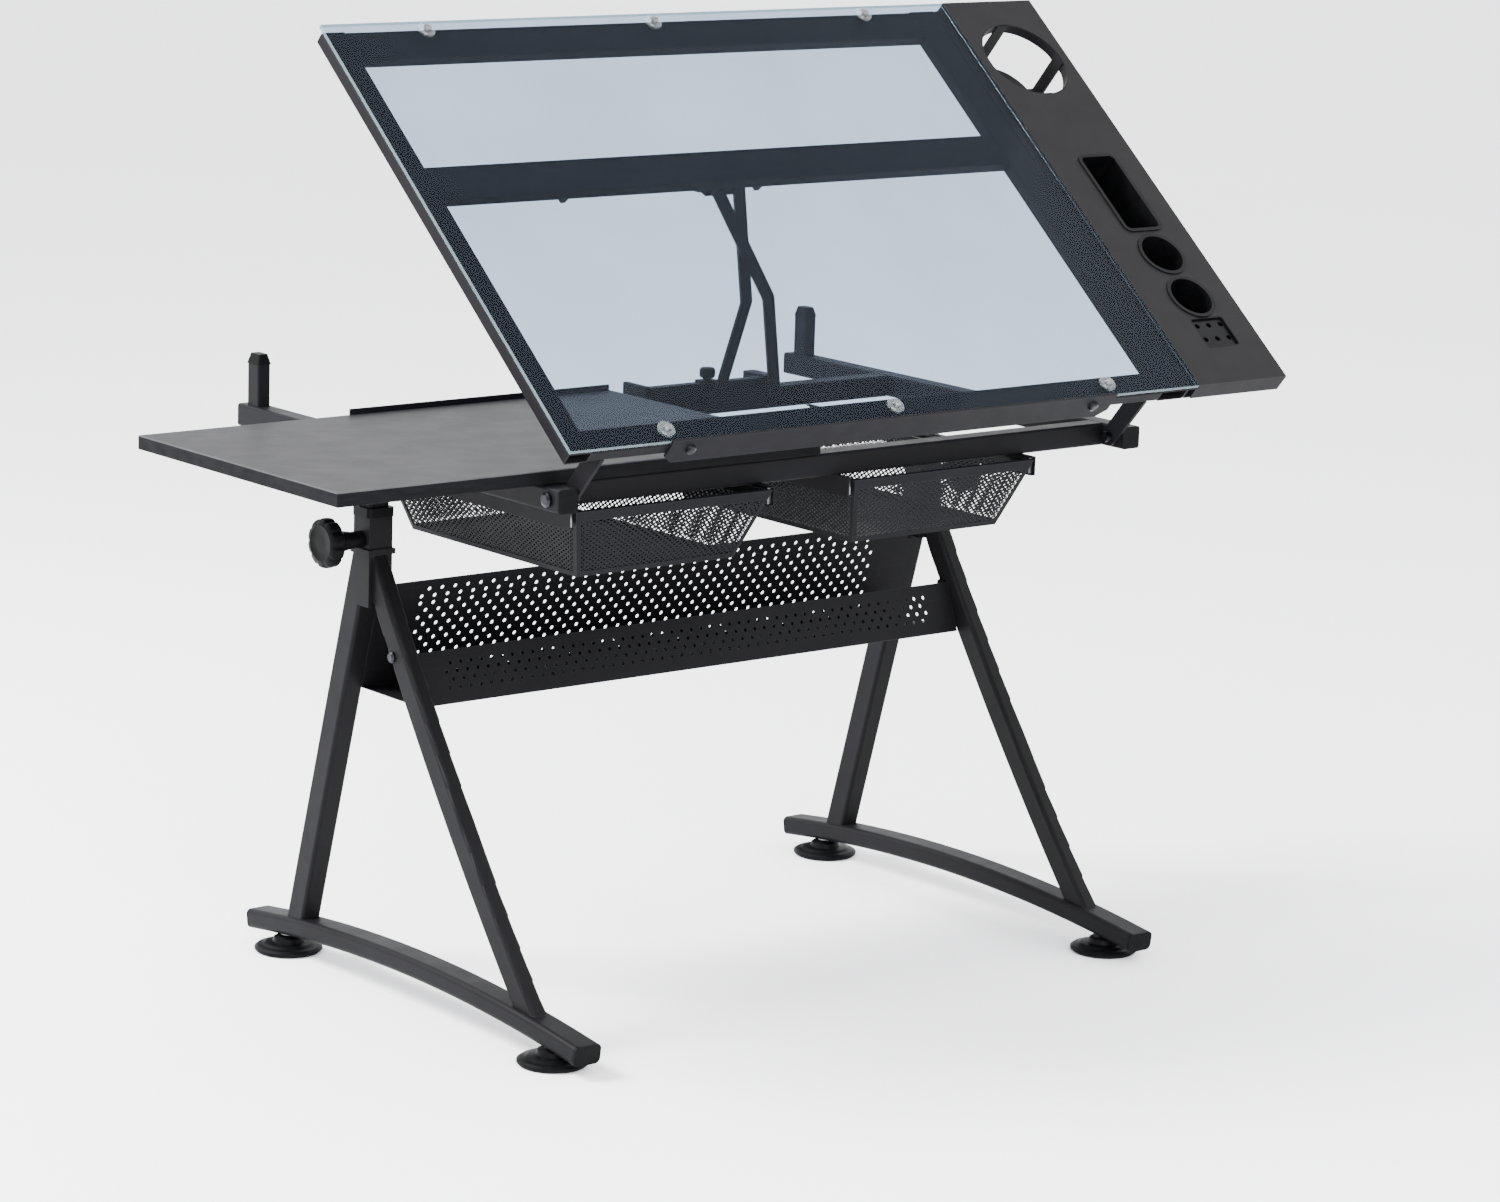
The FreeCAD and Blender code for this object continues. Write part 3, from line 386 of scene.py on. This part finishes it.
def perforated(sheet, corner, along, up, size, pitch, hole, margins):
    """Flat panel with staggered round holes; corner, along and up place its lower left corner.

    size is (length, height), pitch is (hole to hole, row to row), margins is (ends, bottom, top).
    """
    def patch(left, right, low, high):
        sheet.face(at(left, low), at(right, low), at(right, high), at(left, high))

    def at(u, v):
        return corner + along * u + up * v

    length, height = size
    ends, bottom, top = margins
    rows = max(int((height - bottom - top) / pitch[1]), 1)
    row_h = (height - bottom - top) / rows
    count = int((length - 2 * ends) / pitch[0] - 0.5)
    cell = (length - 2 * ends) / (count + 0.5)
    quarter = cell / POINTS_PER_EDGE
    for row in range(rows):
        v = bottom + row * row_h
        start = ends + (cell / 2 if row % 2 else 0)
        finish = start + count * cell
        side_steps = [row_h * k / POINTS_PER_EDGE for k in range(POINTS_PER_EDGE + 1)]
        for low, high in zip(side_steps, side_steps[1:]):
            patch(0, start, v + low, v + high)
            patch(finish, length, v + low, v + high)
        for k in range(count):
            u = start + k * cell
            rim = cell_rim(u, v, cell, row_h)
            ring = []
            for index in range(SIDES_OF_HOLE):
                turn = FIRST_POINT + 2 * math.pi * index / SIDES_OF_HOLE
                ring.append((u + cell / 2 + hole * math.cos(turn), v + row_h / 2 + hole * math.sin(turn)))
            for index in range(SIDES_OF_HOLE):
                after = (index + 1) % SIDES_OF_HOLE
                sheet.face(at(*rim[index]), at(*rim[after]), at(*ring[after]), at(*ring[index]))
    inner = int(round((length - 2 * ends) / quarter))
    edges = [0.0, ends] + [ends + quarter * k for k in range(1, inner)] + [length - ends, length]
    for low, high in zip(edges, edges[1:]):
        if bottom > 0:
            patch(low, high, 0, bottom)
        if top > 0:
            patch(low, high, height - top, height)


def expanded(sheet, corners, pitch, strand):
    """Expanded diamond mesh stretched over a four-cornered panel, given corner by corner."""
    a, b, c, d = [Vector(p) for p in corners]
    across = max(int(round(((b - a).length + (c - d).length) / 2 / pitch[0])), 1)
    tall = max(int(round((d - a).length / pitch[1])), 1)

    def at(u, v):
        return (a.lerp(b, u)).lerp(d.lerp(c, u), v)

    du = 1 / across
    dv = 1 / tall
    share = 1 - 2 * strand / min(pitch)
    for row in range(2 * tall - 1):
        for k in range(across - row % 2):
            u = (k + 0.5 + (0.5 if row % 2 else 0)) * du
            v = (row + 1) * dv / 2
            outer = [(u - du / 2, v), (u, v - dv / 2), (u + du / 2, v), (u, v + dv / 2)]
            inner = [(u + (p - u) * share, v + (q - v) * share) for p, q in outer]
            for index in range(4):
                after = (index + 1) % 4
                sheet.face(at(*outer[index]), at(*outer[after]), at(*inner[after]), at(*inner[index]))


# ---- perforated shelf trough ----
SHELF_SHEET = 1.5 * MM
# The sheet's outer bends seen from the side, as y and z: front top, front foot, rear foot, rear top.
SHELF_BENDS = ((33, 380), (12, 325), (128.24, 325), (95.4, 444))
SHOULDER_Z = 421
SHOULDER_STEP = 6 * MM
FRONT_PITCH = (13.6 * MM, 7.6 * MM)
FRONT_HOLE = 2.3 * MM
BACK_PITCH = (17 * MM, 8.1 * MM)
BACK_HOLE = 2.5 * MM


def shelf_trough():
    """Bent sheet with staggered holes in both walls; the rear wall is shorter above its shoulder."""
    low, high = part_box("shelf_trough")
    length = high.x - low.x
    along = Vector((1, 0, 0))
    half = SHELF_SHEET / 2
    insets = ((half, 0), (half, half), (-half, half), (-half, 0))
    middle = []
    for (y, z), (in_y, in_z) in zip(SHELF_BENDS, insets):
        place = stand(0, y, z)
        middle.append(Vector((low.x, place.y + in_y, place.z + in_z)))
    front_top, front_foot, rear_foot, rear_top = middle
    sheet = Sheet()
    front = front_top - front_foot
    perforated(sheet, front_foot, along, front.normalized(), (length, front.length), FRONT_PITCH,
               FRONT_HOLE, (34 * MM, 12 * MM, 10 * MM))
    sheet.face(front_foot, front_foot + along * length, rear_foot + along * length, rear_foot)
    back = rear_top - rear_foot
    shoulder = (stand(0, 0, SHOULDER_Z).z - rear_foot.z) / back.z
    lower = back * shoulder
    perforated(sheet, rear_foot, along, lower.normalized(), (length, lower.length), BACK_PITCH,
               BACK_HOLE, (50 * MM, 4 * MM, 0))
    upper = back * (1 - shoulder)
    perforated(sheet, rear_foot + along * SHOULDER_STEP + lower, along, upper.normalized(),
               (length - 2 * SHOULDER_STEP, upper.length), BACK_PITCH, BACK_HOLE,
               (44 * MM, 0, 6.5 * MM))
    trough = piece("perforated_trough", sheet.verts, sheet.faces, STEEL, "base")
    solidify(trough, SHELF_SHEET, 0.0)
    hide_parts("shelf_trough")


# ---- mesh drawers ----
MESH_CELL = (8.2 * MM, 6.0 * MM)
MESH_STRAND = 1.2 * MM
MESH_SHEET = 0.6 * MM
BAND_SHEET = 1.0 * MM
BAND = 5 * MM
# How far up a wall its foot band ends and its rim band starts.
FOOT_SHARE = 0.07
RIM_SHARE = 0.86
FLOOR_HALF = 102.5 * MM
FLOOR_Y = (-212, 83)


def drawn_in(corners):
    """A level rectangle moved in by a band; its corners run from the front left one to the rear left."""
    ways = ((1, 1), (-1, 1), (-1, -1), (1, -1))
    return [corner + Vector((x, y, 0)) * BAND for corner, (x, y) in zip(corners, ways)]


def drawer_basket(side):
    """Expanded-metal walls and floor between solid rim, foot and corner bands."""
    low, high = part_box("drawer_basket_" + side)
    centre = (low.x + high.x) / 2

    def outline(half, front, rear, z):
        left, right = centre - half, centre + half
        return [Vector((x, y, z)) for x, y in ((left, front), (right, front), (right, rear), (left, rear))]

    floor_front, floor_rear = [stand(0, y, 0).y for y in FLOOR_Y]
    base = outline(FLOOR_HALF, floor_front, floor_rear, low.z)
    rim = outline((high.x - low.x) / 2, low.y, high.y, high.z)

    def ring(share):
        return [f.lerp(t, share) for f, t in zip(base, rim)]

    body = "drawer_" + side
    mesh = Sheet()
    bands = Sheet()
    band_low, band_high = ring(FOOT_SHARE), ring(RIM_SHARE)
    for k in range(4):
        n = (k + 1) % 4
        run = (band_low[n] - band_low[k]).normalized() * BAND
        quad = [band_low[k] + run, band_low[n] - run, band_high[n] - run, band_high[k] + run]
        expanded(mesh, quad, MESH_CELL, MESH_STRAND)
        bands.face(base[k], base[n], band_low[n], band_low[k])
        bands.face(band_high[k], band_high[n], rim[n], rim[k])
        bands.face(band_low[k], band_low[k] + run, band_high[k] + run, band_high[k])
        bands.face(band_low[n] - run, band_low[n], band_high[n], band_high[n] - run)
    inner = drawn_in(base)
    expanded(mesh, inner, MESH_CELL, MESH_STRAND)
    for k in range(4):
        n = (k + 1) % 4
        bands.face(base[n], base[k], inner[k], inner[n])
    lip = drawn_in(rim)
    for k in range(4):
        n = (k + 1) % 4
        bands.face(rim[k], rim[n], lip[n], lip[k])
    net = piece("drawer_net_" + side, mesh.verts, mesh.faces, MESH, body)
    solidify(net, MESH_SHEET, 1.0)
    frame_piece = piece("drawer_bands_" + side, bands.verts, bands.faces, MESH, body)
    solidify(frame_piece, BAND_SHEET, 1.0)
    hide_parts("drawer_basket_" + side)


# ---- side board ----
# A face is the board's top above TOP_RISE, and one of its sides below SIDE_RISE, in its normal's z. The
# upward-leaning faces between, along its upper edges, carry a painted highlight.
TOP_RISE = 0.97
SIDE_RISE = 0.03


def side_board():
    """Board with laminate on top, dark sides and a painted highlight along its upper edges."""
    low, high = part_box("side_board")
    sheet = Sheet()
    sheet.box(low, high)
    board = piece("laminated_board", sheet.verts, sheet.faces, BOARD, "top_frame")
    board.data.materials.append(BOARD_SIDE)
    board.data.materials.append(BOARD_EDGE_HIGHLIGHT)
    bevelled(board, 1.1 * MM)
    for face in board.data.polygons:
        rise = face.normal.z
        # Index 2 is the painted highlight on the upward-leaning edge faces.
        face.material_index = 0 if rise > TOP_RISE else 2 if rise > SIDE_RISE else 1
    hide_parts("side_board")


# ---- tension spring ----
SPRING_X = (-46, 93)
HOOK_X = (-64, 136)
HOOK_HALF = 4 * MM
LEAD = 3 * MM
SPRING_Y = -181
SPRING_Z = 600
WIRE = 1.0 * MM
COIL = 5.4 * MM
TURNS = 26
TURN_STEPS = 14


def tension_spring():
    """Open-wound helix with a straight hooked wire at each end."""
    axis = stand(0, SPRING_Y, SPRING_Z)
    start, end = [stand(x, 0, 0).x for x in SPRING_X]
    hook_low, hook_high = [stand(x, 0, 0).x for x in HOOK_X]
    total = TURNS * TURN_STEPS
    points = [Vector((x, axis.y, axis.z)) for x in (hook_low - HOOK_HALF, hook_low + HOOK_HALF, start - LEAD)]
    for k in range(total + 1):
        turn = 2 * math.pi * k / TURN_STEPS
        x = start + (end - start) * k / total
        points.append(Vector((x, axis.y + COIL * math.cos(turn), axis.z + COIL * math.sin(turn))))
    points += [Vector((x, axis.y, axis.z)) for x in (end + LEAD, hook_high - HOOK_HALF, hook_high + HOOK_HALF)]
    curve = bpy.data.curves.new("spring_coils", "CURVE")
    curve.dimensions = "3D"
    curve.bevel_depth = WIRE
    curve.bevel_resolution = 2
    curve.use_fill_caps = True
    spline = curve.splines.new("POLY")
    spline.points.add(len(points) - 1)
    for slot_point, place in zip(spline.points, points):
        slot_point.co = (*place, 1)
    curve.materials.append(SPRING)
    helper = bpy.data.objects.new("spring_helper", curve)
    bpy.context.scene.collection.objects.link(helper)
    mesh = evaluated_mesh(helper)
    bpy.data.objects.remove(helper)
    spring = bpy.data.objects.new("spring_coils", mesh)
    bpy.context.scene.collection.objects.link(spring)
    smooth_by_angle(spring, 60)
    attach(spring, "top_frame")
    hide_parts("tension_spring")


# ---- CAD nodes that keep their shape ----
# A node takes the first look whose name it starts with, or else STEEL.
NODE_LOOKS = {
    "levelling_foot": PLASTIC, "height_knob": PLASTIC, "foot_bar_plugs": PLASTIC, "sleeve_collars": PLASTIC,
    "rail_end_caps": PLASTIC, "rest_caps": PLASTIC, "lift_clamp_knob": PLASTIC, "pen_insert": INSERT,
    "pot_inserts": INSERT, "tool_pad": INSERT, "tool_tray": TRAY, "glass_clips": CLEAR, "clip_screws": ZINC,
    "shelf_bolts": BOLT, "hinge_bolts": BOLT, "ledge_bolts": BOLT, "upper_rod": ZINC, "foot_inserts": ZINC,
    "drawer_slides": ZINC,
}


def finish_nodes():
    for name, node in NODES.items():
        material = next((look for start, look in NODE_LOOKS.items() if name.startswith(start)), STEEL)
        node.data.materials.clear()
        node.data.materials.append(material)
        smooth_by_angle(node, 30)


# ---- glass pane ----
PANE_LOW = Vector((-425, 0.2, -4.8)) * MM
PANE_HIGH = Vector((445, 599.8, 0)) * MM
# Faces whose normal leans further than this from the pane's own are its edges.
FACE_RISE = 0.9


def glass_pane():
    """Polished pane a hair above the frame tubes, with arrised edges."""
    sheet = Sheet()
    sheet.box(PANE_LOW, PANE_HIGH)
    pane = piece("glass_pane", sheet.verts, sheet.faces, GLASS, "tilt_top")
    bevelled(pane, 0.8 * MM)
    pane.data.materials.append(GLASS_EDGE)
    for face in pane.data.polygons:
        face.material_index = 0 if abs(face.normal.z) > FACE_RISE else 1
    pane.data.transform(slope_matrix())
    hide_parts("glass_panel")


# ---- height knobs ----
# (radius, reach) from the root outwards, as shares of the largest radius and of the knob's length.
KNOB_PROFILE = (
    (0.16, 0.0), (0.30, 0.0), (0.34, 0.04), (0.34, 0.30), (0.42, 0.50), (0.62, 0.66), (0.90, 0.71),
    (0.985, 0.75), (1.0, 0.80), (1.0, 0.90), (0.97, 0.955), (0.90, 0.985), (0.72, 1.0),
    (0.68, 0.985), (0.30, 0.985), (0.02, 0.985),
)
KNOB_STEPS = 120
LOBES = 10
LOBE_DIP = 0.075
# The flutes run where the radius is at least about this share.
GRIP_SHARE = 0.85


def height_knob(side):
    """Fluted grip on a flared neck, with a shallow dish in its end."""
    low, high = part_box("height_knob_" + side)
    outward = 1 if side == "right" else -1
    root = low.x if outward > 0 else high.x
    reach = high.x - low.x
    centre_y = (low.y + high.y) / 2
    centre_z = (low.z + high.z) / 2
    radius = (high.z - low.z) / 2
    steps = KNOB_STEPS
    verts = []
    faces = []
    for share, along in KNOB_PROFILE:
        for k in range(steps):
            turn = 2 * math.pi * k / steps
            dip = 1 - LOBE_DIP * max(math.cos(LOBES * turn), 0) ** 2 if share > GRIP_SHARE else 1
            verts.append((root + outward * reach * along, centre_y + radius * share * dip * math.cos(turn),
                          centre_z + radius * share * dip * math.sin(turn)))
    rows = len(KNOB_PROFILE)
    for row in range(rows - 1):
        for k in range(steps):
            after = (k + 1) % steps
            quad = (row * steps + k, row * steps + after, (row + 1) * steps + after, (row + 1) * steps + k)
            faces.append(quad if outward > 0 else quad[::-1])
    base_face = tuple(range(steps))[::-1]
    top_face = tuple(range((rows - 1) * steps, rows * steps))
    faces += [base_face, top_face] if outward > 0 else [base_face[::-1], top_face[::-1]]
    knob = piece("fluted_knob_" + side, verts, faces, PLASTIC, "knob_" + side)
    smooth_by_angle(knob, 40)
    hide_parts("height_knob_" + side)


# ---- floor, light and camera ----
# Wide enough that no horizon shows.
FLOOR_SIZE = 80.0
ROOM_COLOUR = (0.93, 0.935, 0.95, 1)
ROOM_STRENGTH = 3.4
# Name, place, width and power of each square lamp; all aim at LAMPS_AIM.
LAMPS = (
    ("key", (-2.4, 1.5, 3.0), 1.5, 560.0),
    ("fill", (-1.4, -2.8, 1.6), 2.4, 150.0),
    ("side", (2.8, -1.0, 2.2), 2.4, 30.0),
)
LAMPS_AIM = Vector((0, 0, 0.5))
CAMERA_PLACE = (-3167.85, -3978.27, 1474.38)
CAMERA_YAW = math.radians(-39.03)
CAMERA_PITCH = math.radians(11.87)
CAMERA_ROLL = math.radians(1.83)
CAMERA_LENS = 111.93
CAMERA_SENSOR = 36


def studio():
    """Pale floor, even room light and three soft lamps."""
    bpy.ops.mesh.primitive_plane_add(size=FLOOR_SIZE, location=(0, 0, 0))
    floor = bpy.context.object
    floor.name = "studio_floor"
    floor.data.materials.append(studio_floor())

    world = bpy.data.worlds.new("studio_world")
    bpy.context.scene.world = world
    world.use_nodes = True
    room = world.node_tree.nodes["Background"]
    room.inputs["Color"].default_value = ROOM_COLOUR
    room.inputs["Strength"].default_value = ROOM_STRENGTH

    for name, place, width, power in LAMPS:
        data = bpy.data.lights.new(name, "AREA")
        data.size = width
        data.energy = power
        lamp = bpy.data.objects.new(name, data)
        bpy.context.scene.collection.objects.link(lamp)
        lamp.location = place
        lamp.rotation_euler = (LAMPS_AIM - Vector(place)).to_track_quat("-Z", "Y").to_euler()


def camera():
    """The photograph's place, direction and lens; yaw 0 looks along +Y."""
    yaw, pitch, roll = CAMERA_YAW, CAMERA_PITCH, CAMERA_ROLL
    back = Vector((math.sin(yaw) * math.cos(pitch), -math.cos(yaw) * math.cos(pitch), math.sin(pitch)))
    right = Vector((math.cos(yaw), math.sin(yaw), 0))
    up = back.cross(right)
    rolled_right = right * math.cos(roll) + up * math.sin(roll)
    rolled_up = up * math.cos(roll) - right * math.sin(roll)
    data = bpy.data.cameras.new("camera")
    data.sensor_width = CAMERA_SENSOR
    data.lens = CAMERA_LENS
    eye = bpy.data.objects.new("camera", data)
    bpy.context.scene.collection.objects.link(eye)
    turn = Matrix((rolled_right, rolled_up, back)).transposed().to_4x4()
    eye.matrix_world = Matrix.Translation(stand(*CAMERA_PLACE)) @ turn
    bpy.context.scene.camera = eye


finish_nodes()
glass_pane()
shelf_trough()
for each_side in SIDES:
    drawer_basket(each_side)
    height_knob(each_side)
side_board()
tension_spring()
studio()
camera()
